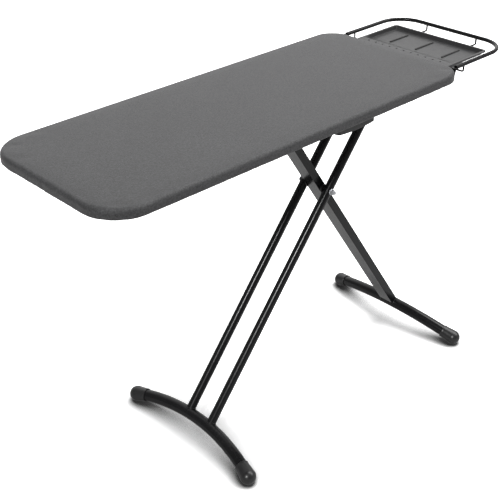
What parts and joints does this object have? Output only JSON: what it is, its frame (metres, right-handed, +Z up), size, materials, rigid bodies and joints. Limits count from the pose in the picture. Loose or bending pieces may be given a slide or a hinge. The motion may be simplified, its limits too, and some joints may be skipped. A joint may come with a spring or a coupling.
{
  "type": "ironing board",
  "caption": "Folding ironing board with a padded cloth-covered top, scissor legs on arched feet, a height lever and a railed metal iron rest.",
  "frame": {"origin": "centre of the bounding box, on the floor", "axes": "+X along the board from its nose to the iron rest, +Y across it to the side away from the lever, +Z up"},
  "size_m": [1.3666, 0.499, 0.9],
  "materials": {
    "cover_cloth": "matt heathered cotton",
    "pad_felt": "needled felt",
    "board_steel": "satin grey paint",
    "zinc_steel": "bright zinc plating",
    "black_plastic": "moulded nylon",
    "cap_plastic": "moulded, slight sheen",
    "grip_plastic": "moulded, fine grain",
    "glide_plastic": "natural nylon",
    "rest_steel": "fine textured grey powder coat",
    "strip_rubber": "silicone strip",
    "black_enamel": "gloss black powder coat"
  },
  "bodies": {
    "board": {"cover": "cover_cloth", "pad": "pad_felt", "top_plate": "board_steel", "edge_frame": "board_steel", "cross_rib_nose": "board_steel", "cross_rib_tail": "board_steel", "guide_rail_near": "zinc_steel", "guide_rail_far": "zinc_steel", "pivot_bracket_near": "zinc_steel", "pivot_bracket_far": "zinc_steel", "plate_rivets": "zinc_steel", "pivot_rod": "zinc_steel", "pivot_caps": "zinc_steel", "pivot_spacer": "black_plastic", "pivot_washers": "black_plastic", "lever_saddles": "zinc_steel", "lever_spring": "zinc_steel", "iron_tray": "rest_steel", "rest_strips": "strip_rubber", "guard_rail": "black_enamel", "strut_near": "black_enamel", "strut_far": "black_enamel", "strut_end_near": "black_enamel", "strut_end_far": "black_enamel", "guard_tab_near": "black_enamel", "guard_tab_far": "black_enamel", "tail_screws": "zinc_steel"},
    "round_legs": {"round_leg_near": "black_enamel", "round_leg_far": "black_enamel", "leg_plugs": "black_plastic", "nose_foot": "black_enamel", "nose_cap_near": "cap_plastic", "nose_cap_far": "cap_plastic", "centre_bolt": "zinc_steel", "centre_nut": "zinc_steel", "centre_washers": "zinc_steel"},
    "box_leg_frame": {"box_leg": "black_enamel", "box_plug": "black_plastic", "centre_sleeve": "black_plastic", "spacer_near": "black_plastic", "spacer_far": "black_plastic", "rear_foot": "black_enamel", "rear_cap_near": "cap_plastic", "rear_cap_far": "cap_plastic", "cross_pin": "zinc_steel", "glide_near": "glide_plastic", "glide_far": "glide_plastic", "glide_clips": "zinc_steel"},
    "lever": {"lever_rod": "zinc_steel", "lever_grip": "grip_plastic", "lock_comb": "zinc_steel"}
  },
  "joints": [
    {"name": "fold", "type": "hinge", "parent": "board", "child": "round_legs", "pos_m": [0.34275, 0, 0.856], "axis": [0, 1, 0], "range_deg": [0, 48]},
    {"name": "scissor", "type": "hinge", "parent": "round_legs", "child": "box_leg_frame", "pos_m": [0.1321, 0, 0.594], "axis": [0, 1, 0], "range_deg": [-101.5, 0]},
    {"name": "height_lever", "type": "hinge", "parent": "board", "child": "lever", "pos_m": [0.10702, 0, 0.8665], "axis": [0, -1, 0], "range_deg": [0, 3.9]}
  ],
  "couplings": [
    {"joint": "scissor", "follows": "fold", "ratio": -2.112}
  ]
}
